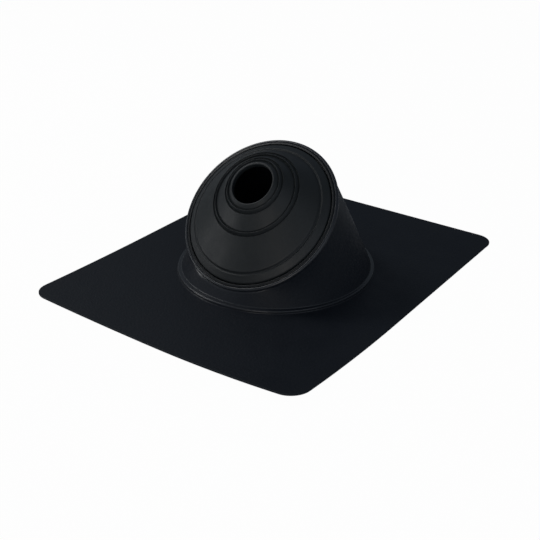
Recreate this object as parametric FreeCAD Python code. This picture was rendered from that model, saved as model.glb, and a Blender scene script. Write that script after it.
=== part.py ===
"""Pipe flashing boot: a roof flashing with a leaning bell and a stepped rubber collar.

Millimetres, +Z up.  The origin is the centre of the bell's foot circle on the underside of the
flange.  +Y runs along the flange's long side; the bell's mouth leans towards -Y, the short edge
that lies up the roof.  Everything round the mouth is modelled upright, on the axis of the mouth,
and then turned about X by the lean: there x is X, u runs up the slope of the mouth and w is the
height above the mouth's own base plane, which passes through the origin.
"""
import FreeCAD
import Part
import math
import os

from FreeCAD import Placement, Rotation, Vector

# ---- flange -------------------------------------------------------------------------------
FLANGE_WIDTH = 317.5        # X, 12.5 inches
FLANGE_LENGTH = 381.0       # Y, 15 inches
FLANGE_THICK = 2.0
CORNER_RADIUS = 18.0
CURL_LENGTH = 112.0         # from the start of a corner's curl to the corner, at 45 degrees
RIGHT_CURL_RISE = 9.0       # how far the curled corner at +X -Y stands up
LEFT_CURL_RISE = 3.0        # and the one at -X -Y

# ---- bell ---------------------------------------------------------------------------------
FOOT_RADIUS = 100.0         # outside of the bell where it meets the flange
BELL_WALL = 3.0
FOOT_RING_WIDTH = 1.6       # how far the foot ring stands out from the bell
FOOT_RING_HEIGHT = 3.2      # above the flange
FOOT_RING_BEVEL = 1.2
BELL_BULGE = 4.0            # how far the high side swells out of a straight line
BELL_SECTIONS = 4           # circles that the wall is lofted through
CAVITY_SIDES = 48           # the hidden hollows are many-sided, which keeps their mesh light

# ---- mouth of the bell --------------------------------------------------------------------
LEAN_DEG = 43.0
MOUTH_UP = 26.5             # u of the axis of the mouth
MOUTH_HEIGHT = 68.0         # w of the middle of the rim bead
RIM_BEAD_RADIUS = 2.2       # section of the bead
BEAD_SIDES = 8
RIM_WALL = 1.6              # wall between the seat and the outside of the rim
SEAT_DEPTH = 3.8            # from the middle of the bead down to the seat ledge
SEAT_THICK = 3.0
SEAT_WIDTH = 7.7            # how far the ledge reaches inwards

# ---- retaining ring -----------------------------------------------------------------------
RING_RADIUS = 79.7          # outside
RING_WIDTH = 3.0
RING_HEIGHT = 4.4
RING_BEVEL = 1.2
FIT_GAP = 0.1               # ring to rim, all round

# ---- rubber collar ------------------------------------------------------------------------
HEM_THICK = 2.0             # trapped between the ledge and the ring
HEM_GAP = 0.8               # edge of the hem to the rim
SHADOW_GAP = 1.0            # band to retaining ring
COLLAR_WALL = 3.0
BAND_HEIGHT = 5.2           # upright side of the band above the hem
BAND_RISE = 4.0             # rise of the band's sloping top
BAND_WIDTH = 6.2
RISER_HEIGHT = 1.9          # small step at the foot of the cone, out of a groove
RISER_WIDTH = 2.0
LARGE_STEP_RADIUS = 45.1    # outer groove of the tear-off step for the large pipe
LARGE_STEP_UP = 11.4        # its centre lies this far up the slope from the mouth's
LARGE_STEP_RISE = 12.2      # above the riser
SMALL_STEP_RADIUS = 30.0    # the same for the middle pipe
SMALL_STEP_UP = 16.0
SMALL_STEP_RISE = 6.8       # above the inner groove of the large step
STEP_WIDTH = 3.6            # outer groove to inner groove
STEP_RISE = 1.8
STEP_BEAD_HEIGHT = 1.0      # how far the bead between them stands up
GROOVE_HALF_WIDTH = 0.6
GROOVE_DEPTH = 0.8
LIP_RISE = 2.2
HOLE_RADIUS = 21.1          # grips the small pipe
LIP_WIDTH = 2.0             # flat end of the lip, round the hole
LIP_ROUND = 1.0
LIP_DEPTH = 5.0             # length of the hole's wall

# ---- derived ------------------------------------------------------------------------------
SEAT_TOP = MOUTH_HEIGHT - SEAT_DEPTH
SEAT_UNDER = SEAT_TOP - SEAT_THICK
SOCKET_RADIUS = RING_RADIUS + FIT_GAP
RIM_RADIUS = SOCKET_RADIUS + RIM_WALL
MOUTH_RADIUS = SOCKET_RADIUS - SEAT_WIDTH
HEM_TOP = SEAT_TOP + HEM_THICK
RING_TOP = HEM_TOP + RING_HEIGHT
BAND_RADIUS = RING_RADIUS - RING_WIDTH - SHADOW_GAP
LEAN = Rotation(Vector(1, 0, 0), LEAN_DEG)
UP = Vector(0, 0, 1)


def leaned(shape):
    """Turn a shape from the upright frame of the mouth into the frame of the part."""
    turned = shape.copy()
    turned.Placement = Placement(Vector(0, 0, FLANGE_THICK), LEAN).multiply(turned.Placement)
    return turned


def leaned_point(up, height):
    """Point of the mid plane at u and w, in the frame of the part."""
    return Vector(0, 0, FLANGE_THICK) + LEAN.multVec(Vector(0, up, height))


def one_solid(shape):
    """The single solid of a boolean's result, without split faces."""
    clean = shape.removeSplitter()
    assert len(clean.Solids) == 1, "the piece fell apart"
    return clean.Solids[0]


def turned(points, up):
    """Solid of revolution of (radius, w) points about the upright line at u = up."""
    outline = [Vector(radius, up, height) for radius, height in points]
    face = Part.Face(Part.makePolygon(outline + outline[:1]))
    return face.revolve(Vector(0, up, 0), UP, 360)


# ---- base flashing ------------------------------------------------------------------------
def flange_outline(height, bottom=0.0):
    """Upright prism on the rounded rectangle of the flange."""
    box = Part.makeBox(FLANGE_WIDTH, FLANGE_LENGTH, height,
                       Vector(-FLANGE_WIDTH / 2, -FLANGE_LENGTH / 2, bottom))
    uprights = [e for e in box.Edges if abs(e.BoundBox.ZLength - height) < 1e-6]
    return box.makeFillet(CORNER_RADIUS, uprights)


def corner_curl(side, rise):
    """Sheet beyond the bend line of one front corner, rolled up on a large radius."""
    radius = CURL_LENGTH ** 2 / (2 * rise)
    reach = CURL_LENGTH * 1.1
    span = FLANGE_WIDTH

    def on_arc(arc_radius, along):
        return Vector(along, 0, radius - math.sqrt(arc_radius ** 2 - along ** 2))

    def arc(arc_radius):
        return Part.Arc(*[on_arc(arc_radius, reach * share) for share in (0, 0.5, 1)]).toShape()

    under, over = arc(radius), arc(radius - FLANGE_THICK)
    ends = [Part.makeLine(on_arc(radius, along), on_arc(radius - FLANGE_THICK, along))
            for along in (0, reach)]
    section = Part.Face(Part.Wire(Part.sortEdges([under, over] + ends)[0]))
    roll = section.extrude(Vector(0, 2 * span, 0))
    roll.translate(Vector(0, -span, 0))
    return bend_placed(roll, side)


def bend_placed(shape, side):
    """Move a shape from a bend line on the Y axis to the bend line of one front corner."""
    toward_corner = Vector(side, -1, 0).normalize()
    corner = Vector(side * FLANGE_WIDTH / 2, -FLANGE_LENGTH / 2, 0)
    moved = shape.copy()
    turn = Rotation(UP, math.degrees(math.atan2(toward_corner.y, toward_corner.x)))
    moved.Placement = Placement(corner - toward_corner * CURL_LENGTH, turn).multiply(shape.Placement)
    return moved


def make_flange():
    """Flat sheet whose two front corners curl up gently."""
    sheet = flange_outline(FLANGE_THICK)
    outline = flange_outline(max(LEFT_CURL_RISE, RIGHT_CURL_RISE) + 3 * FLANGE_THICK, -FLANGE_THICK)
    beyond = Part.makeBox(FLANGE_LENGTH, 2 * FLANGE_WIDTH, 3 * FLANGE_THICK,
                          Vector(0, -FLANGE_WIDTH, -FLANGE_THICK))
    for side, rise in ((1, RIGHT_CURL_RISE), (-1, LEFT_CURL_RISE)):
        sheet = sheet.cut(bend_placed(beyond, side))
        sheet = sheet.fuse(corner_curl(side, rise).common(outline))
    return sheet


def round_wire(radius, sides=None):
    """Circle in the XY plane, or a polygon of so many sides with its corners on the circle."""
    if sides is None:
        return Part.Wire(Part.makeCircle(radius))
    corners = [Rotation(UP, 360 * index / sides).multVec(Vector(radius, 0, 0)) for index in range(sides)]
    return Part.makePolygon(corners + corners[:1])


def standing_wire(low, high, sides):
    """Round wire on two opposite points of the mid plane, its start on the +X side."""
    across = high - low
    tilt = Rotation(Vector(1, 0, 0), math.degrees(math.atan2(across.z, across.y)))
    wire = round_wire(across.Length / 2, sides)
    wire.Placement = Placement((low + high) * 0.5, tilt)
    return wire


def bell_loft(foot_radius, foot_height, rim_radius, rim_up, rim_height, sides=None):
    """Swelling loft from a level circle at the foot to a leaning circle at the mouth."""
    foot = [Vector(0, side * foot_radius, foot_height) for side in (-1, 1)]
    rim = [leaned_point(rim_up + side * rim_radius, rim_height) for side in (-1, 1)]
    along_back = (rim[1] - foot[1]).normalize()
    outwards = Vector(0, along_back.z, -along_back.y)
    wires = []
    for index in range(BELL_SECTIONS):
        share = index / (BELL_SECTIONS - 1)
        swell = outwards * (BELL_BULGE * 4 * share * (1 - share))
        low = foot[0] + (rim[0] - foot[0]) * share
        high = foot[1] + (rim[1] - foot[1]) * share + swell
        wires.append(standing_wire(low, high, sides))
    return Part.makeLoft(wires, True, sides is not None)


def foot_ring():
    """Bevelled ring that the bell stands in."""
    radius = FOOT_RADIUS + FOOT_RING_WIDTH
    top = FLANGE_THICK + FOOT_RING_HEIGHT
    return turned([(0, FLANGE_THICK / 2), (radius, FLANGE_THICK / 2), (radius, top - FOOT_RING_BEVEL),
                   (radius - FOOT_RING_BEVEL / 2, top), (0, top)], 0)


def rim_bead():
    """Many-sided bead round the mouth, standing out from the wall on both faces."""
    middle = RIM_RADIUS - RIM_WALL / 2
    corners = [Rotation(UP, 360 * index / BEAD_SIDES).multVec(Vector(RIM_BEAD_RADIUS, 0, 0))
               for index in range(BEAD_SIDES)]
    return turned([(middle + corner.x, MOUTH_HEIGHT + corner.y) for corner in corners], MOUTH_UP)


def mouth_bore():
    """What is cut out of the mouth: the opening and the socket of the ring above its seat."""
    open_top = MOUTH_HEIGHT + 2 * RIM_BEAD_RADIUS
    return turned([(0, SEAT_UNDER - FIT_GAP), (MOUTH_RADIUS, SEAT_UNDER - FIT_GAP),
                   (MOUTH_RADIUS, SEAT_TOP), (SOCKET_RADIUS, SEAT_TOP),
                   (SOCKET_RADIUS, open_top), (0, open_top)], MOUTH_UP)


def make_base_flashing():
    """Flange, foot ring, hollow bell, seat ledge and rim bead: one moulding."""
    bell = bell_loft(FOOT_RADIUS, FLANGE_THICK / 2, RIM_RADIUS, MOUTH_UP, MOUTH_HEIGHT)
    body = make_flange().fuse([foot_ring(), bell, leaned(rim_bead())])

    # Inside, the cavity runs from below the flange up to the underside of the ledge.
    cavity = bell_loft(FOOT_RADIUS - BELL_WALL, -2 * FLANGE_THICK, RIM_RADIUS - BELL_WALL,
                       MOUTH_UP - BELL_WALL / 2, SEAT_UNDER, CAVITY_SIDES)
    return one_solid(body.cut([cavity, leaned(mouth_bore())]))


# ---- retaining ring -----------------------------------------------------------------------
def make_retaining_ring():
    """Bevelled ring that is pressed into the rim and traps the collar's hem."""
    inner = RING_RADIUS - RING_WIDTH
    return one_solid(leaned(turned([
        (inner, HEM_TOP), (RING_RADIUS, HEM_TOP), (RING_RADIUS, RING_TOP - RING_BEVEL),
        (RING_RADIUS - RING_BEVEL, RING_TOP), (inner + RING_BEVEL, RING_TOP),
        (inner, RING_TOP - RING_BEVEL)], MOUTH_UP)))


# ---- rubber collar ------------------------------------------------------------------------
def stacked_cone(rings):
    """Straight-sided solid through level circles, given as (u, w, radius) from the bottom up."""
    wires = []
    for up, height, radius in rings:
        wire = round_wire(radius)
        wire.Placement = Placement(Vector(0, up, height), Rotation())
        wires.append(wire)
    return Part.makeLoft(wires, True, True)


def many_sided_cone(rings):
    """The same stack as flat-sided rings, for a hollow that nobody sees."""
    levels = []
    for up, height, radius in rings:
        wire = round_wire(radius, CAVITY_SIDES)
        wire.Placement = Placement(Vector(0, up, height), Rotation())
        levels.append([vertex.Point for vertex in wire.OrderedVertexes])
    faces = [Part.Face(Part.makePolygon(level + level[:1])) for level in (levels[0], levels[-1])]
    for lower, upper in zip(levels, levels[1:]):
        for side in range(CAVITY_SIDES):
            corners = [lower[side - 1], lower[side], upper[side], upper[side - 1]]
            faces.append(Part.Face(Part.makePolygon(corners + corners[:1])))
    return Part.makeSolid(Part.makeShell(faces))


def tear_off_step(up, height, radius):
    """Circles of one step: a groove, a bead that stands up, and a second groove further in."""
    inner = radius - STEP_WIDTH
    top = height + STEP_RISE
    return [(up, height, radius + GROOVE_HALF_WIDTH),
            (up, height - GROOVE_DEPTH, radius),
            (up, top + STEP_BEAD_HEIGHT, inner + STEP_WIDTH / 2),
            (up, top - GROOVE_DEPTH, inner),
            (up, top, inner - GROOVE_HALF_WIDTH)]


def collar_heights():
    """Heights w of the collar's main circles, from the band up to the lip."""
    band = HEM_TOP + BAND_HEIGHT
    riser_foot = band + BAND_RISE
    riser_top = riser_foot + RISER_HEIGHT
    large = riser_top + LARGE_STEP_RISE
    small = large + STEP_RISE + SMALL_STEP_RISE
    lip = small + STEP_RISE + LIP_RISE
    return band, riser_foot, riser_top, large, small, lip


def collar_outside():
    """Band, riser and off-centre stepped cone, solid down to the top of the hem."""
    band, riser_foot, riser_top, large, small, lip = collar_heights()
    lip_up = MOUTH_UP + SMALL_STEP_UP
    band_inner = BAND_RADIUS - BAND_WIDTH
    rings = [(MOUTH_UP, HEM_TOP, BAND_RADIUS),
             (MOUTH_UP, band, BAND_RADIUS),
             (MOUTH_UP, riser_foot, band_inner),
             (MOUTH_UP, riser_foot - GROOVE_DEPTH, band_inner - RISER_WIDTH / 2),
             (MOUTH_UP, riser_top, band_inner - RISER_WIDTH)]
    rings += tear_off_step(MOUTH_UP + LARGE_STEP_UP, large, LARGE_STEP_RADIUS)
    rings += tear_off_step(lip_up, small, SMALL_STEP_RADIUS)
    rings += [(lip_up, lip - LIP_ROUND / 2, HOLE_RADIUS + LIP_WIDTH),
              (lip_up, lip, HOLE_RADIUS + LIP_WIDTH - LIP_ROUND)]
    return stacked_cone(rings)


def collar_cavity():
    """Inside of the collar: the same cone one wall lower, without the steps."""
    band, _, riser_top, large, small, lip = collar_heights()
    open_radius = BAND_RADIUS - COLLAR_WALL
    large_up = MOUTH_UP + LARGE_STEP_UP
    lip_up = MOUTH_UP + SMALL_STEP_UP
    return many_sided_cone([
        (MOUTH_UP, SEAT_TOP - COLLAR_WALL, open_radius),
        (MOUTH_UP, band - COLLAR_WALL / 2, open_radius),
        (MOUTH_UP, riser_top - COLLAR_WALL - RISER_HEIGHT, BAND_RADIUS - BAND_WIDTH - RISER_WIDTH),
        (large_up, large - COLLAR_WALL, LARGE_STEP_RADIUS),
        (lip_up, lip - LIP_DEPTH, HOLE_RADIUS + COLLAR_WALL)])


def make_rubber_collar():
    """Hem, band, off-centre stepped cone, tear-off beads and grooves, lip and pipe hole."""
    hem = Part.makeCylinder(SOCKET_RADIUS - HEM_GAP, HEM_THICK, Vector(0, MOUTH_UP, SEAT_TOP))
    lip_up = MOUTH_UP + SMALL_STEP_UP
    lip = collar_heights()[-1]
    hole = Part.makeCylinder(HOLE_RADIUS, 3 * LIP_DEPTH, Vector(0, lip_up, lip - 2 * LIP_DEPTH))
    return one_solid(leaned(collar_outside().fuse(hem).cut([collar_cavity(), hole])))


def main():
    os.makedirs("parts", exist_ok=True)
    pieces = {
        "base_flashing": make_base_flashing(),
        "rubber_collar": make_rubber_collar(),
        "retaining_ring": make_retaining_ring(),
    }
    for name, solid in pieces.items():
        solid.exportStep("parts/" + name + ".step")
        print(name, "valid", solid.isValid(), "volume", round(solid.Volume / 1000, 1), "cm3", solid.BoundBox)


main()
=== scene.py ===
"""Dresses a pipe flashing boot: a moulded black flashing, its rubber collar and the ring that traps it.

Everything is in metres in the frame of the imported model: the origin lies under the middle of the
flange, +Z is up and the mouth of the bell leans towards -Y.  Each of the three pieces is a closed
skin made of columns.  A column is the section of the piece at one angle round its axis, so one
section, written once, gives the whole piece.
"""

import logging
import math
from dataclasses import dataclass
from enum import Enum
from typing import Callable

import bpy
from bpy.types import Node, NodeSocket, NodeTree
from mathutils import Matrix, Vector

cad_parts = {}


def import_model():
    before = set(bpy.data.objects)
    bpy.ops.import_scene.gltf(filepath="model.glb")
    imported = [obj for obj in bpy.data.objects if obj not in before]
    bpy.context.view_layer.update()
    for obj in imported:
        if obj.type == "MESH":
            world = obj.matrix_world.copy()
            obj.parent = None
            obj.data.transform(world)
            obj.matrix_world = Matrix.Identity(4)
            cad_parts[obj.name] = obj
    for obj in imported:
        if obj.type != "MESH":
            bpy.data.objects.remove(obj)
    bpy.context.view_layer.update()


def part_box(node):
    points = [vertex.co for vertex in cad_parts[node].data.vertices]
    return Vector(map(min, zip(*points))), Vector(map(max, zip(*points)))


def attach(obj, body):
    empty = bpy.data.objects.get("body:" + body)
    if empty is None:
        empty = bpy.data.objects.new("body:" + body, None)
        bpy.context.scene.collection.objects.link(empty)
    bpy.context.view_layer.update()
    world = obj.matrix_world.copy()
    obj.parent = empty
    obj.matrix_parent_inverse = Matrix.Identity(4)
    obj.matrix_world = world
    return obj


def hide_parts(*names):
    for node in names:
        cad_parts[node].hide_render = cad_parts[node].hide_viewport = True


MM = 0.001
FULL_TURN = 2 * math.pi
SHARE_OF_SIDE = 0.45   # a rounding takes up at most this share of either side of its corner
SUPPORT_SHARE = 0.1    # a support point lies this share of the rounding beyond its end
WHITE = (1.0, 1.0, 1.0, 1.0)
LOG = logging.getLogger("boot")
Section = list[Vector]
Corner = tuple[Vector, float]


# ---- small helpers ------------------------------------------------------------------------
def linear(hex_colour: str) -> tuple[float, float, float, float]:
    """Turn an sRGB hex colour into linear RGBA.

    Args:
        hex_colour: six hex digits, such as "1a1c1f".

    Returns:
        Linear red, green and blue, and an alpha of 1.
    """
    channels = [int(hex_colour[place:place + 2], 16) / 255 for place in (0, 2, 4)]
    red, green, blue = [c / 12.92 if c <= 0.04045 else ((c + 0.055) / 1.055) ** 2.4 for c in channels]
    return red, green, blue, 1.0


def evenly(count: int, start: float = 0.0, end: float = 1.0) -> list[float]:
    """Return count values from start to end, both included."""
    return [start + (end - start) * index / (count - 1) for index in range(count)]


def full_turn(count: int) -> list[float]:
    """Return count even angles that go once round."""
    return [FULL_TURN * index / count for index in range(count)]


def rounded(corners: list[Corner], steps: int = 5) -> Section:
    """Round the corners of a closed outline.

    Args:
        corners: points in order, each with the length of outline that its rounding takes up on
            either side; 0 keeps the corner sharp.
        steps: segments in each rounding.

    Returns:
        The closed outline, with a support point just outside each rounding so that the flats
        beside it shade flat.
    """
    outline: Section = []
    for index, (corner, size) in enumerate(corners):
        if size <= 0:
            outline.append(corner.copy())
            continue
        before = corners[index - 1][0] - corner
        after = corners[(index + 1) % len(corners)][0] - corner
        reach_before = min(size, SHARE_OF_SIDE * before.length)
        reach_after = min(size, SHARE_OF_SIDE * after.length)
        start = corner + before.normalized() * reach_before
        end = corner + after.normalized() * reach_after
        outline.append(start + before.normalized() * SUPPORT_SHARE * reach_before)
        for share in evenly(steps + 1):
            outline.append(start * (1 - share) ** 2 + corner * 2 * share * (1 - share) + end * share ** 2)
        outline.append(end + after.normalized() * SUPPORT_SHARE * reach_after)
    return outline


def skin(name: str, angles: list[float], section: Callable[[float], Section]) -> bpy.types.Object:
    """Make a closed ring-shaped mesh from one section per angle.

    Args:
        name: name of the piece.
        angles: angles of the columns in radians, going once round.
        section: gives the closed section at an angle, with the same number of points each time.

    Returns:
        The new object, smooth shaded, with its normals pointing outwards.
    """
    columns = [section(angle) for angle in angles]
    rows = len(columns[0])
    points = [point for column in columns for point in column]
    faces = []
    for here in range(len(columns)):
        there = (here + 1) % len(columns)
        for row in range(rows):
            above = (row + 1) % rows
            faces.append((here * rows + row, there * rows + row,
                          there * rows + above, here * rows + above))
    mesh = bpy.data.meshes.new(name)
    mesh.from_pydata(points, [], faces)
    mesh.polygons.foreach_set("use_smooth", [True] * len(faces))
    mesh.update()
    piece = bpy.data.objects.new(name, mesh)
    bpy.context.scene.collection.objects.link(piece)
    return piece


# ---- frame of the mouth -------------------------------------------------------------------
@dataclass(frozen=True)
class Lean:
    """Frame of the leaning mouth: x across, u up the slope of the mouth and w out of it."""

    degrees: float = 43.0
    base: float = 2.0 * MM

    def point(self, across: float, up: float, height: float) -> Vector:
        """Turn a point of the mouth's frame into the frame of the part.

        Args:
            across: its x.
            up: its u, up the slope of the mouth.
            height: its w, out of the mouth.

        Returns:
            The point in the frame of the part.
        """
        turn = math.radians(self.degrees)
        return Vector((across, up * math.cos(turn) - height * math.sin(turn),
                       self.base + up * math.sin(turn) + height * math.cos(turn)))

    def to_mouth(self, point: Vector) -> tuple[float, float]:
        """Turn a point of the part's frame into the frame of the mouth.

        Args:
            point: a point in the frame of the part.

        Returns:
            Its u and its w.
        """
        turn = math.radians(self.degrees)
        height = point.z - self.base
        return (point.y * math.cos(turn) + height * math.sin(turn),
                -point.y * math.sin(turn) + height * math.cos(turn))

    def axis(self) -> Vector:
        """Return the unit vector out of the mouth."""
        return self.point(0, 0, 1) - self.point(0, 0, 0)

    def on_ring(self, angle: float, up: float, height: float, radius: float) -> Vector:
        """Return the point at an angle of the level ring of that radius about u = up."""
        return self.point(radius * math.cos(angle), up + radius * math.sin(angle), height)


@dataclass(frozen=True)
class Mouth:
    """Sizes round the mouth that the flashing, the collar and the ring share."""

    lean: Lean = Lean()
    up: float = 26.5 * MM
    bead_height: float = 68.0 * MM
    seat_top: float = 64.2 * MM
    seat_under: float = 61.2 * MM
    hem_top: float = 66.2 * MM
    bore: float = 72.1 * MM
    ring_radius: float = 79.7 * MM
    socket: float = 79.8 * MM
    rim_radius: float = 81.4 * MM


# ---- base flashing ------------------------------------------------------------------------
@dataclass
class BaseFlashing:
    """Flange, bell, seat and rim bead: one moulding of black polyethylene; sizes in metres."""

    width: float
    length: float
    mouth: Mouth = Mouth()
    thick: float = 2.0 * MM
    corner_radius: float = 18.0 * MM
    edge_round: float = 0.7 * MM
    curl_length: float = 112.0 * MM
    right_curl_rise: float = 9.0 * MM
    left_curl_rise: float = 3.0 * MM
    foot_radius: float = 100.0 * MM
    wall: float = 3.0 * MM
    foot_ring_width: float = 1.6 * MM
    foot_ring_height: float = 3.2 * MM
    foot_ring_round: float = 1.3 * MM
    foot_fillet: float = 0.9 * MM
    bulge: float = 4.0 * MM
    bead_radius: float = 2.2 * MM
    bead_middle: float = 80.6 * MM
    bead_round: float = 1.2 * MM
    seat_round: float = 0.6 * MM
    socket_round: float = 0.3 * MM
    ledge_round: float = 1.0 * MM
    crevice_round: float = 0.8 * MM
    bead_past_wall: float = 0.3
    bead_steps: int = 14
    wall_steps: int = 26
    flange_steps: int = 26
    search_steps: int = 400
    halvings: int = 30

    def curl(self, x: float, y: float) -> float:
        """Work out how far the curled corners lift the sheet.

        Args:
            x: place across the sheet.
            y: place along the sheet.

        Returns:
            The height of the sheet's underside there.
        """
        lift = 0.0
        for side, rise in ((1, self.right_curl_rise), (-1, self.left_curl_rise)):
            to_corner = Vector((side, -1)).normalized()
            corner = Vector((side * self.width / 2, -self.length / 2))
            beyond = (Vector((x, y)) - corner).dot(to_corner) + self.curl_length
            if beyond > 0:
                radius = self.curl_length ** 2 / (2 * rise)
                lift += radius - math.sqrt(radius ** 2 - beyond ** 2)
        return lift

    def perimeter(self, angle: float) -> tuple[float, float]:
        """Find where a ray from the origin leaves the rounded rectangle of the flange.

        Args:
            angle: angle of the ray.

        Returns:
            The x and y of the place.
        """
        half_x, half_y, radius = self.width / 2, self.length / 2, self.corner_radius
        across, along = math.cos(angle), math.sin(angle)
        reach = min(half_x / max(abs(across), 1e-9), half_y / max(abs(along), 1e-9))
        centre_x = math.copysign(half_x - radius, across)
        centre_y = math.copysign(half_y - radius, along)
        past_x = abs(reach * across) > half_x - radius
        past_y = abs(reach * along) > half_y - radius
        if past_x and past_y:
            dot = across * centre_x + along * centre_y
            room = dot ** 2 - (centre_x ** 2 + centre_y ** 2 - radius ** 2)
            reach = dot + math.sqrt(room)
        return reach * across, reach * along

    def angles(self) -> list[float]:
        """Space the columns evenly, with finer ones at the corners of the sheet.

        Returns:
            The angles of the columns, in order and never closer than the least spacing.
        """
        even_count, fine_count = 180, 14
        fine_spacing, least_spacing = math.radians(0.35), math.radians(0.2)
        corner = math.atan2(self.length / 2, self.width / 2)
        fine = [quarter + side * step * fine_spacing
                for quarter in (corner, math.pi - corner, math.pi + corner, FULL_TURN - corner)
                for step in range(fine_count) for side in (-1, 1) if step or side > 0]
        merged: list[float] = []
        for angle in sorted(full_turn(even_count) + fine):
            if not merged or angle - merged[-1] > least_spacing:
                merged.append(angle)
        return merged

    def wall_point(self, angle: float, share: float, foot: float, foot_height: float,
                   rim: float, rim_up: float, rim_height: float) -> Vector:
        """Place a point on the swelling wall between a foot circle and a rim circle.

        Args:
            angle: angle round the wall.
            share: 0 at the foot and 1 at the rim.
            foot: radius of the foot circle.
            foot_height: its height in the frame of the part.
            rim: radius of the rim circle.
            rim_up: u of its centre.
            rim_height: its w.

        Returns:
            The point in the frame of the part.
        """
        lean = self.mouth.lean
        low_foot, high_foot = Vector((0, -foot, foot_height)), Vector((0, foot, foot_height))
        low_rim = lean.point(0, rim_up - rim, rim_height)
        high_rim = lean.point(0, rim_up + rim, rim_height)
        back = (high_rim - high_foot).normalized()
        swell = Vector((0, back.z, -back.y)) * (self.bulge * 4 * share * (1 - share))
        low = low_foot.lerp(low_rim, share)
        high = high_foot.lerp(high_rim, share) + swell
        centre, half = (low + high) / 2, (high - low) / 2
        return centre + Vector((half.length * math.cos(angle), 0, 0)) + half * math.sin(angle)

    def outer_wall(self, angle: float, share: float) -> Vector:
        """Return a point of the bell's outside."""
        return self.wall_point(angle, share, self.foot_radius, self.thick / 2,
                               self.mouth.rim_radius, self.mouth.up, self.mouth.bead_height)

    def inner_wall(self, angle: float, share: float) -> Vector:
        """Return a point of the bell's hollow, one wall further in."""
        return self.wall_point(angle, share, self.foot_radius - self.wall, -2 * self.thick,
                               self.mouth.rim_radius - self.wall, self.mouth.up - self.wall / 2,
                               self.mouth.seat_under)

    def share_at(self, wall: Callable[[float, float], Vector], angle: float, height: float) -> float:
        """Find the share at which a wall reaches a height, by halving.

        Args:
            wall: gives the wall's point at an angle and a share.
            angle: angle round the wall.
            height: the height in the frame of the part.

        Returns:
            The share of the way from foot to rim.
        """
        low, high = 0.0, 1.0
        for _ in range(self.halvings):
            middle = (low + high) / 2
            if wall(angle, middle).z < height:
                low = middle
            else:
                high = middle
        return (low + high) / 2

    def bead_end(self, angle: float) -> tuple[float, float]:
        """Find where the bead runs into the outer wall.

        Args:
            angle: angle round the wall.

        Returns:
            The angle round the bead's own section and the share of the way up the wall.
        """
        mouth = self.mouth
        for step in range(1, self.search_steps):
            share = 1 - step / self.search_steps
            point = self.outer_wall(angle, share)
            up, height = self.mouth.lean.to_mouth(point)
            outwards = math.hypot(point.x, up - mouth.up) - self.bead_middle
            rise = height - mouth.bead_height
            if math.hypot(outwards, rise) >= self.bead_radius:
                return math.atan2(rise, outwards), share
        return 0.0, 0.0

    def sheet_point(self, angle: float, share: float, start: float, height: float) -> Vector:
        """Place a point on the sheet between the foot of the bell and the perimeter.

        Args:
            angle: angle round the sheet.
            share: 0 at the start radius and 1 at the perimeter.
            start: the start radius.
            height: the height above the sheet's underside.

        Returns:
            The point in the frame of the part, lifted by the curl.
        """
        edge_x, edge_y = self.perimeter(angle)
        x = (1 - share) * start * math.cos(angle) + share * edge_x
        y = (1 - share) * start * math.sin(angle) + share * edge_y
        return Vector((x, y, height + self.curl(x, y)))

    def section(self, angle: float) -> Section:
        """Draw the closed section: seat, bead, wall, foot ring, sheet and hollow.

        Args:
            angle: angle round the moulding.

        Returns:
            The points of the section, starting under the seat.
        """
        outer_share, outside = self.rim_corners(angle)
        ring_top = self.thick + self.foot_ring_height
        foot_share = self.share_at(self.outer_wall, angle, ring_top)
        outside += [(self.outer_wall(angle, share), 0)
                    for share in evenly(self.wall_steps, outer_share, foot_share)[1:-1]]
        outside.append((self.outer_wall(angle, foot_share), self.foot_fillet))

        ring_radius = self.foot_radius + self.foot_ring_width
        foot_ring = Vector((math.cos(angle), math.sin(angle), 0)) * ring_radius
        outside.append((foot_ring + Vector((0, 0, ring_top)), self.foot_ring_round))
        outside.append((foot_ring + Vector((0, 0, self.thick)), self.crevice_round))
        outside += [(self.sheet_point(angle, share, ring_radius, self.thick), 0)
                    for share in evenly(self.flange_steps)[1:-1]]

        edge = [(self.sheet_point(angle, 1, ring_radius, height), self.edge_round)
                for height in (self.thick, 0)]

        inner_share = self.share_at(self.inner_wall, angle, 0.0)
        inner_foot = self.inner_wall(angle, inner_share)
        inside = [(self.sheet_point(angle, share, inner_foot.xy.length, 0), 0)
                  for share in evenly(self.flange_steps)[-2:0:-1]]
        inside.append((inner_foot, self.seat_round))
        inside += [(self.inner_wall(angle, share), 0)
                   for share in evenly(self.wall_steps, inner_share, 1.0)[1:-1]]
        inside.append((self.inner_wall(angle, 1.0), self.ledge_round))
        return rounded(outside + edge + inside)

    def rim_corners(self, angle: float) -> tuple[float, list[Corner]]:
        """Draw the seat ledge, the socket and the bead at an angle.

        Args:
            angle: angle round the moulding.

        Returns:
            The share of the way up the outer wall at which the bead ends, and the corners from
            under the ledge to there.
        """
        mouth = self.mouth

        def ring(height: float, radius: float, size: float) -> Corner:
            """Return a corner on a level ring of the mouth."""
            return mouth.lean.on_ring(angle, mouth.up, height, radius), size

        corners = [ring(mouth.seat_under, mouth.bore, self.seat_round),
                   ring(mouth.seat_top, mouth.bore, self.seat_round),
                   ring(mouth.seat_top, mouth.socket, self.socket_round)]
        bead_start = math.acos((mouth.socket - self.bead_middle) / self.bead_radius)
        bead_end, wall_share = self.bead_end(angle)
        corners += [ring(mouth.bead_height + self.bead_radius * math.sin(turn),
                         self.bead_middle + self.bead_radius * math.cos(turn), 0)
                    for turn in evenly(self.bead_steps, bead_start, bead_end + self.bead_past_wall)]
        corners.append((self.outer_wall(angle, wall_share), self.bead_round))
        return wall_share, corners

    def build(self) -> bpy.types.Object:
        """Build the moulding as one closed skin."""
        return skin("base_flashing_moulding", self.angles(), self.section)


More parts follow.
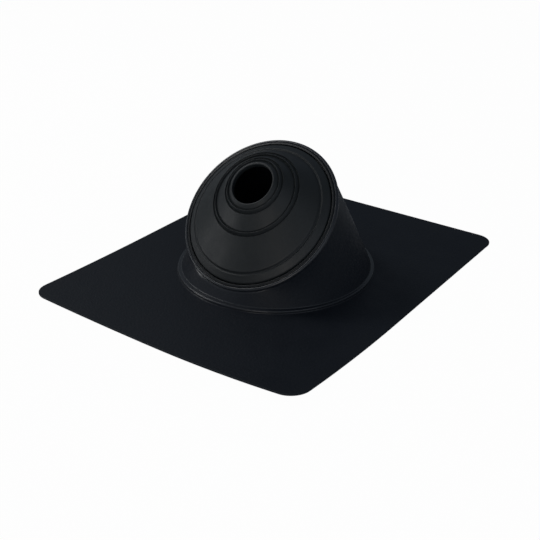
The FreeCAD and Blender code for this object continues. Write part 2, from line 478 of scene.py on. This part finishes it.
# ---- rubber collar ------------------------------------------------------------------------
@dataclass(frozen=True)
class Crease:
    """One corner of a collar's section: where its ring lies and how softly it is rounded."""

    up: float
    height: float
    radius: float
    softness: float


@dataclass(frozen=True)
class TearOffStep:
    """Section of a tear-off step, two grooves with a bead between them; sizes in millimetres."""

    width: float = 3.6
    rise: float = 1.8
    depth: float = 1.5
    stands_up: float = 0.7
    shoulder: float = 1.2
    half_groove: float = 1.0

    def creases(self, up: float, height: float, radius: float) -> list[Crease]:
        """Draw the step round one circle.

        Args:
            up: u of the circle's centre.
            height: w of the face just outside the step.
            radius: radius of the outer groove.

        Returns:
            The creases from the inner groove to the outer one.
        """
        inner, top = radius - self.width, height + self.rise
        return [Crease(up, top, inner - self.half_groove, 0.3),
                Crease(up, top - self.depth, inner, 0.35),
                Crease(up, top + self.stands_up, inner + self.shoulder, 0.7),
                Crease(up, height + self.stands_up, radius - self.shoulder, 0.7),
                Crease(up, height - self.depth, radius, 0.35),
                Crease(up, height, radius + self.half_groove, 0.3)]


@dataclass
class RubberCollar:
    """Hem, band, off-centre stepped cone, tear-off beads, lip and hole; sizes in millimetres."""

    mouth: Mouth = Mouth()
    step: TearOffStep = TearOffStep()
    columns: int = 200
    band_radius: float = 75.7
    wall: float = 3.0
    hem_radius: float = 79.0
    band_height: float = 71.4
    riser_foot: float = 75.9
    riser_top: float = 77.6
    riser_radius: float = 69.0
    riser_width: float = 3.0
    riser_groove: float = 0.7
    large_up: float = 37.9
    large_height: float = 89.5
    large_radius: float = 45.1
    lip_up: float = 42.5
    small_height: float = 98.1
    small_radius: float = 30.0
    lip_height: float = 102.1
    lip_depth: float = 5.0
    lip_width: float = 2.0
    hole_radius: float = 21.1

    def creases(self) -> list[Crease]:
        """List the corners of the closed section.

        Returns:
            The creases: up the inside, over the lip and down the outside.
        """
        centre = self.mouth.up / MM
        seat, hem_top = self.mouth.seat_top / MM, self.mouth.hem_top / MM
        inner = self.band_radius - self.wall
        cone_foot = self.riser_radius - self.riser_width
        inside = [Crease(centre, seat, inner, 0.5),
                  Crease(centre, self.band_height - self.wall / 2, inner, 1.8),
                  Crease(centre, self.riser_foot - self.wall, cone_foot, 1.8),
                  Crease(self.large_up, self.large_height - self.wall, self.large_radius, 3.0),
                  Crease(self.lip_up, self.lip_height - self.lip_depth,
                         self.hole_radius + self.wall, 1.0)]
        lip = [Crease(self.lip_up, self.lip_height - self.lip_depth, self.hole_radius, 0.6),
               Crease(self.lip_up, self.lip_height, self.hole_radius, 1.0),
               Crease(self.lip_up, self.lip_height, self.hole_radius + self.lip_width, 0.9)]
        foot = [Crease(centre, self.riser_top, cone_foot, 0.7),
                Crease(centre, self.riser_foot - self.riser_groove,
                       (cone_foot + self.riser_radius) / 2, 1.0),
                Crease(centre, self.riser_foot, self.riser_radius, 0.6),
                Crease(centre, self.band_height, self.band_radius, 1.3),
                Crease(centre, hem_top, self.band_radius, 0.4),
                Crease(centre, hem_top, self.hem_radius, 0.5),
                Crease(centre, seat, self.hem_radius, 0.5)]
        return (inside + lip + self.step.creases(self.lip_up, self.small_height, self.small_radius)
                + self.step.creases(self.large_up, self.large_height, self.large_radius) + foot)

    def section(self, angle: float) -> Section:
        """Return the closed section of the collar at an angle."""
        on_ring = self.mouth.lean.on_ring
        return rounded([(on_ring(angle, c.up * MM, c.height * MM, c.radius * MM), c.softness * MM)
                        for c in self.creases()])

    def build(self) -> bpy.types.Object:
        """Build the collar as one closed skin."""
        return skin("rubber_collar_moulding", full_turn(self.columns), self.section)


# ---- retaining ring -----------------------------------------------------------------------
@dataclass
class RetainingRing:
    """Round-topped ring that is pressed into the rim; sizes in millimetres."""

    mouth: Mouth = Mouth()
    columns: int = 200
    width: float = 3.0
    height: float = 4.4
    outer_round: float = 2.0
    inner_round: float = 0.5
    foot_round: float = 0.3

    def section(self, angle: float) -> Section:
        """Draw the closed section of the ring.

        Args:
            angle: angle round the ring.

        Returns:
            The points of the section.
        """
        outer = self.mouth.ring_radius
        inner = outer - self.width * MM
        foot = self.mouth.hem_top
        top = foot + self.height * MM
        corners = [(foot, inner, self.foot_round), (foot, outer, self.foot_round),
                   (top, outer, self.outer_round), (top, inner, self.inner_round)]
        return rounded([(self.mouth.lean.on_ring(angle, self.mouth.up, height, radius), size * MM)
                        for height, radius, size in corners])

    def build(self) -> bpy.types.Object:
        """Build the ring as one closed skin."""
        return skin("retaining_ring_moulding", full_turn(self.columns), self.section)


# ---- finishes -----------------------------------------------------------------------------
class Grain(Enum):
    """How the face of the mould was made."""

    SPARK_ERODED = "spark eroded"
    POLISHED = "polished"


@dataclass(frozen=True)
class PolishedBand:
    """A disc-shaped zone in which the mould was polished; sizes in metres."""

    middle: Vector
    axis: Vector
    radius: float
    half_height: float
    radius_fade: float = 1.0 * MM
    height_fade: float = 0.5 * MM

    def share(self, tree: NodeTree, place: NodeSocket) -> NodeSocket:
        """Draw the zone.

        Args:
            tree: the material's node tree.
            place: socket of the object coordinates.

        Returns:
            The socket that is 1 inside the zone and 0 outside it.
        """
        away = add_node(tree, "ShaderNodeVectorMath", {0: place, 1: self.middle},
                        {"operation": "DISTANCE"})
        near = add_node(tree, "ShaderNodeMapRange",
                        {"Value": away.outputs["Value"], "From Min": self.radius,
                         "From Max": self.radius + self.radius_fade, "To Min": 1.0, "To Max": 0.0})
        offset = add_node(tree, "ShaderNodeVectorMath", {0: place, 1: self.middle},
                          {"operation": "SUBTRACT"})
        along = add_node(tree, "ShaderNodeVectorMath", {0: offset.outputs["Vector"], 1: self.axis},
                         {"operation": "DOT_PRODUCT"})
        height = add_node(tree, "ShaderNodeMath", {0: along.outputs["Value"]},
                          {"operation": "ABSOLUTE"})
        level = add_node(tree, "ShaderNodeMapRange",
                         {"Value": height.outputs[0], "From Min": self.half_height,
                          "From Max": self.half_height + self.height_fade, "To Min": 1.0,
                          "To Max": 0.0})
        return add_node(tree, "ShaderNodeMath",
                        {0: near.outputs["Result"], 1: level.outputs["Result"]},
                        {"operation": "MULTIPLY"}).outputs[0]


@dataclass(frozen=True)
class MouldedFinish:
    """A moulded polymer with its colour, gloss and the grain of its mould.

    Lengths are in millimetres.  Grains finer than the view can show are drawn coarser.
    """

    name: str
    colour: str
    bloom: str
    roughness: float
    roughness_swing: float
    ior: float
    specular: float
    grain: Grain
    grain_size: float
    grain_depth: float
    cloud_size: float
    cloud_depth: float
    polished: tuple[PolishedBand, ...] = ()
    polish: float = 0.9
    polish_roughness: float = 0.27
    polished_grain: float = 0.06
    wave_strength: float = 0.6

    def build(self) -> bpy.types.Material:
        """Make the node material.

        Returns:
            The material, with its colour, roughness and bump from noise in object space.
        """
        material = bpy.data.materials.new(self.name)
        material.use_nodes = True
        tree = material.node_tree
        tree.nodes.clear()
        place = add_node(tree, "ShaderNodeTexCoord").outputs["Object"]
        cloud = add_node(tree, "ShaderNodeTexNoise",
                         {"Scale": 1 / (self.cloud_size * MM), "Detail": 4.0, "Roughness": 0.6,
                          "Vector": place})
        fine = add_node(tree, "ShaderNodeTexNoise",
                        {"Scale": 1 / (self.grain_size * MM), "Detail": 3.0, "Roughness": 0.55,
                         "Vector": place})
        gloss = add_node(tree, "ShaderNodeMapRange",
                         {"Value": cloud.outputs["Fac"], "From Min": 0.3, "From Max": 0.7,
                          "To Min": self.roughness - self.roughness_swing,
                          "To Max": self.roughness + self.roughness_swing})
        surface = {"Base Color": self.tinted(tree, cloud, fine), "Roughness": gloss.outputs["Result"],
                   "IOR": self.ior, "Specular IOR Level": self.specular}
        if self.polished:
            zone = self.polished_zone(tree, place)
            grain_left = add_node(tree, "ShaderNodeMapRange",
                                  {"Value": zone, "To Min": 1.0, "To Max": self.polished_grain})
            surface["Normal"] = self.relief(tree, place, fine, grain_left.outputs["Result"])
            coat = add_node(tree, "ShaderNodeMath", {0: zone, 1: self.polish},
                            {"operation": "MULTIPLY"})
            surface |= {"Coat Weight": coat.outputs[0], "Coat Roughness": self.polish_roughness}
        else:
            surface["Normal"] = self.relief(tree, place, fine, 1.0)
        shader = add_node(tree, "ShaderNodeBsdfPrincipled", surface)
        add_node(tree, "ShaderNodeOutputMaterial", {"Surface": shader.outputs["BSDF"]})
        return material

    def tinted(self, tree: NodeTree, cloud: Node, fine: Node) -> NodeSocket:
        """Mix the colour and its bloom by the clouds, with the grain as specks in it.

        Args:
            tree: the material's node tree.
            cloud: the noise of the clouds.
            fine: the noise of the grain.

        Returns:
            The socket of the colour.
        """
        least_bloom = 0.15
        tint = add_node(tree, "ShaderNodeMapRange",
                        {"Value": cloud.outputs["Fac"], "From Min": 0.3, "From Max": 0.7})
        speck = add_node(tree, "ShaderNodeMapRange",
                         {"Value": fine.outputs["Fac"], "From Min": 0.35, "From Max": 0.75,
                          "To Min": 0.0, "To Max": 0.5})
        share = add_node(tree, "ShaderNodeMath",
                         {0: tint.outputs["Result"], 1: speck.outputs["Result"], 2: least_bloom},
                         {"operation": "MULTIPLY_ADD"})
        colour = add_node(tree, "ShaderNodeMix", {"Factor": share.outputs[0]},
                          {"data_type": "RGBA", "clamp_factor": True})
        colour.inputs["A"].default_value = linear(self.colour)
        colour.inputs["B"].default_value = linear(self.bloom)
        return colour.outputs["Result"]

    def polished_zone(self, tree: NodeTree, place: NodeSocket) -> NodeSocket:
        """Join the polished bands.

        Args:
            tree: the material's node tree.
            place: socket of the object coordinates.

        Returns:
            The socket that is 1 where the mould is polished and 0 elsewhere.
        """
        zone = self.polished[0].share(tree, place)
        for band in self.polished[1:]:
            zone = add_node(tree, "ShaderNodeMath", {0: zone, 1: band.share(tree, place)},
                            {"operation": "MAXIMUM"}).outputs[0]
        return zone

    def relief(self, tree: NodeTree, place: NodeSocket, fine: Node,
               grain_left: NodeSocket | float) -> NodeSocket:
        """Lay the grain over the slow waves of a moulded face.

        Args:
            tree: the material's node tree.
            place: socket of the object coordinates.
            fine: the noise that carries the grain.
            grain_left: share of the grain that is left, a number or a socket.

        Returns:
            The socket of the bumped normal.
        """
        waves = add_node(tree, "ShaderNodeTexNoise",
                         {"Scale": 1 / (3 * self.cloud_size * MM), "Detail": 1.0, "Vector": place})
        slow = add_node(tree, "ShaderNodeBump",
                        {"Height": waves.outputs["Fac"], "Strength": self.wave_strength,
                         "Distance": self.cloud_depth * MM})
        height = fine.outputs["Fac"]
        if self.grain is Grain.SPARK_ERODED:
            pits = add_node(tree, "ShaderNodeTexVoronoi",
                            {"Scale": 1 / (1.3 * self.grain_size * MM), "Vector": place},
                            {"feature": "SMOOTH_F1"})
            height = add_node(tree, "ShaderNodeMath", {0: height, 1: pits.outputs["Distance"]},
                              {"operation": "ADD"}).outputs[0]
        grain = add_node(tree, "ShaderNodeBump",
                         {"Height": height, "Strength": grain_left, "Normal": slow.outputs["Normal"],
                          "Distance": self.grain_depth * MM})
        return grain.outputs["Normal"]


def add_node(tree: NodeTree, kind: str, inputs: dict | None = None,
             settings: dict | None = None) -> Node:
    """Add a node with its settings, constants and links.

    Args:
        tree: the node tree it goes into.
        kind: the node's type name.
        inputs: input name or number to a constant, or to the output socket that feeds it.
        settings: attribute name to value.

    Returns:
        The new node.
    """
    node = tree.nodes.new(kind)
    for name, value in (settings or {}).items():
        setattr(node, name, value)
    for name, value in (inputs or {}).items():
        if isinstance(value, NodeSocket):
            tree.links.new(value, node.inputs[name])
        else:
            node.inputs[name].default_value = value
    return node


# The mould is polished along the rim bead and along the foot ring.
RIM_POLISH = PolishedBand(Lean().point(0, Mouth().up, 69.2 * MM), Lean().axis(), 84 * MM, 2.2 * MM)
FOOT_POLISH = PolishedBand(Vector((0, 0, 4 * MM)), Vector((0, 0, 1)), 103 * MM, 1.5 * MM)

# Black high-density polyethylene from a spark-eroded mould: a dull, faintly blue black whose
# fine pits break the light up.  The real grain is about 0.4 mm and is drawn at 1.6 mm to show.
FLASHING_PLASTIC = MouldedFinish(
    name="spark_eroded_black_polyethylene", colour="161b22", bloom="1d232d", roughness=0.56,
    roughness_swing=0.06, ior=1.53, specular=0.22, grain=Grain.SPARK_ERODED, grain_size=1.6,
    grain_depth=0.16, cloud_size=26.0, cloud_depth=1.0, polished=(RIM_POLISH, FOOT_POLISH))

# The same plastic from a polished mould: a closer, cleaner line of light along the ring.
RING_PLASTIC = MouldedFinish(
    name="polished_black_polyethylene", colour="121518", bloom="171b1f", roughness=0.34,
    roughness_swing=0.03, ior=1.53, specular=0.35, grain=Grain.POLISHED, grain_size=2.2,
    grain_depth=0.008, cloud_size=18.0, cloud_depth=0.2)

# Compression-moulded EPDM rubber: a greyer black with a soft, wide sheen and a waxy bloom.
COLLAR_RUBBER = MouldedFinish(
    name="moulded_black_epdm_rubber", colour="1e2224", bloom="282d30", roughness=0.47,
    roughness_swing=0.06, ior=1.52, specular=0.4, grain=Grain.POLISHED, grain_size=1.8,
    grain_depth=0.05, cloud_size=16.0, cloud_depth=0.5)


# ---- studio -------------------------------------------------------------------------------
@dataclass(frozen=True)
class Softbox:
    """A square lamp that looks at a target, in metres and degrees."""

    name: str
    azimuth: float
    elevation: float
    distance: float
    size: float
    power: float
    colour: str

    def place(self, target: Vector) -> None:
        """Hang the lamp at its place round the target and turn it to face it.

        Args:
            target: the point that the lamp looks at.
        """
        lamp = bpy.data.lights.new(self.name, "AREA")
        lamp.energy, lamp.size, lamp.color = self.power, self.size, linear(self.colour)[:3]
        holder = bpy.data.objects.new(self.name, lamp)
        back = direction(self.azimuth, self.elevation)
        holder.location = target + back * self.distance
        holder.rotation_euler = (-back).to_track_quat("-Z", "Y").to_euler()
        bpy.context.scene.collection.objects.link(holder)


def direction(azimuth: float, elevation: float) -> Vector:
    """Turn a viewing angle into a direction.

    Args:
        azimuth: degrees round the object; 0 looks along +Y.
        elevation: degrees above the floor.

    Returns:
        The unit vector from the object towards the viewer.
    """
    around, above = math.radians(azimuth), math.radians(elevation)
    return Vector((math.sin(around) * math.cos(above), -math.cos(around) * math.cos(above),
                   math.sin(above)))


@dataclass
class Studio:
    """White floor, soft lamps and the camera; angles in degrees, lens in millimetres."""

    azimuth: float = 36.406
    elevation: float = 27.7145
    roll: float = -0.336
    distance: float = 0.9378
    lens: float = 60.12
    sensor: float = 36.0
    nearest: float = 0.05
    farthest: float = 20.0
    floor_half: float = 6.0
    floor_whiteness: float = 0.98
    aim: Vector = Vector((-3.5, -5.6, -2.8)) * MM
    paper: str = "f4f4f4"
    air: str = "b4c0cc"
    air_strength: float = 0.2
    lamps: tuple[Softbox, ...] = (
        Softbox("key_softbox", 273, 45, 1.4, 0.5, 4.0, "ffffff"),
        Softbox("low_spark_lamp", 308, 6, 1.4, 0.42, 1.7, "ffffff"),
        Softbox("front_softbox", 18, 14, 1.4, 0.6, 2.2, "fff8f2"),
        Softbox("right_softbox", 60, 30, 1.4, 1.0, 1.8, "eef4ff"),
        Softbox("back_softbox", 200, 50, 1.4, 0.9, 0.2, "c4d8ff"),
    )

    def camera(self) -> None:
        """Stand the camera where the boot's two near sides and its mouth show."""
        lens = bpy.data.cameras.new("view")
        lens.lens, lens.sensor_width = self.lens, self.sensor
        lens.clip_start, lens.clip_end = self.nearest, self.farthest
        holder = bpy.data.objects.new("view", lens)
        back = direction(self.azimuth, self.elevation)
        right = back.cross(Vector((0, 0, 1))).normalized() * -1
        above = back.cross(right)
        turn = Matrix.Rotation(math.radians(self.roll), 3, back)
        axes = Matrix((turn @ right, turn @ above, back)).transposed()
        holder.matrix_world = Matrix.Translation(self.aim + back * self.distance) @ axes.to_4x4()
        bpy.context.scene.collection.objects.link(holder)
        bpy.context.scene.camera = holder

    def floor(self) -> None:
        """Lay a white floor that keeps a trace of the boot's shadow."""
        mesh = bpy.data.meshes.new("floor")
        half = self.floor_half
        mesh.from_pydata([(-half, -half, 0), (half, -half, 0), (half, half, 0), (-half, half, 0)], [],
                         [(0, 1, 2, 3)])
        sheet = bpy.data.objects.new("floor", mesh)
        bpy.context.scene.collection.objects.link(sheet)
        material = bpy.data.materials.new("white_paper_sweep")
        material.use_nodes = True
        tree = material.node_tree
        tree.nodes.clear()
        seen = add_node(tree, "ShaderNodeLightPath").outputs["Is Camera Ray"]
        matt = add_node(tree, "ShaderNodeBsdfDiffuse", {"Color": linear(self.paper)})
        glow = add_node(tree, "ShaderNodeEmission", {"Color": WHITE, "Strength": 1.0})
        kept = add_node(tree, "ShaderNodeMath", {0: seen, 1: self.floor_whiteness},
                        {"operation": "MULTIPLY"})
        both = add_node(tree, "ShaderNodeMixShader",
                        {0: kept.outputs[0], 1: matt.outputs[0], 2: glow.outputs[0]})
        add_node(tree, "ShaderNodeOutputMaterial", {"Surface": both.outputs[0]})
        sheet.data.materials.append(material)

    def air_light(self) -> None:
        """Light from all round, and plain white where the camera looks past the floor."""
        world = bpy.data.worlds.new("studio_air")
        bpy.context.scene.world = world
        world.use_nodes = True
        tree = world.node_tree
        tree.nodes.clear()
        seen = add_node(tree, "ShaderNodeLightPath").outputs["Is Camera Ray"]
        soft = add_node(tree, "ShaderNodeBackground",
                        {"Color": linear(self.air), "Strength": self.air_strength})
        white = add_node(tree, "ShaderNodeBackground", {"Color": WHITE, "Strength": 1.0})
        both = add_node(tree, "ShaderNodeMixShader",
                        {0: seen, 1: soft.outputs[0], 2: white.outputs[0]})
        add_node(tree, "ShaderNodeOutputWorld", {"Surface": both.outputs[0]})

    def build(self, target: Vector) -> None:
        """Set up the whole studio.

        Args:
            target: the point that the lamps look at.
        """
        self.floor()
        self.air_light()
        for lamp in self.lamps:
            lamp.place(target)
        self.camera()
        bpy.context.scene.view_settings.view_transform = "Standard"


# ---- assembly -----------------------------------------------------------------------------
def dress(piece: bpy.types.Object, finish: MouldedFinish, node: str) -> None:
    """Give a piece its finish and let it stand for its node.

    Args:
        piece: the piece.
        finish: what it is made of.
        node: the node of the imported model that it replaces.
    """
    piece.data.materials.append(finish.build())
    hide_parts(node)
    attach(piece, "root")
    LOG.info("%s: %d faces, %s", piece.name, len(piece.data.polygons), finish.name)


def main() -> None:
    """Build the pieces in order, dress them and set up the studio."""
    logging.basicConfig(level=logging.INFO, format="%(name)s: %(message)s")
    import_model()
    low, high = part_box("base_flashing")
    base = BaseFlashing(width=high.x - low.x, length=high.y - low.y).build()
    dress(base, FLASHING_PLASTIC, "base_flashing")
    dress(RubberCollar().build(), COLLAR_RUBBER, "rubber_collar")
    dress(RetainingRing().build(), RING_PLASTIC, "retaining_ring")
    Studio().build((low + high) / 2)


if __name__ == "__main__":
    main()
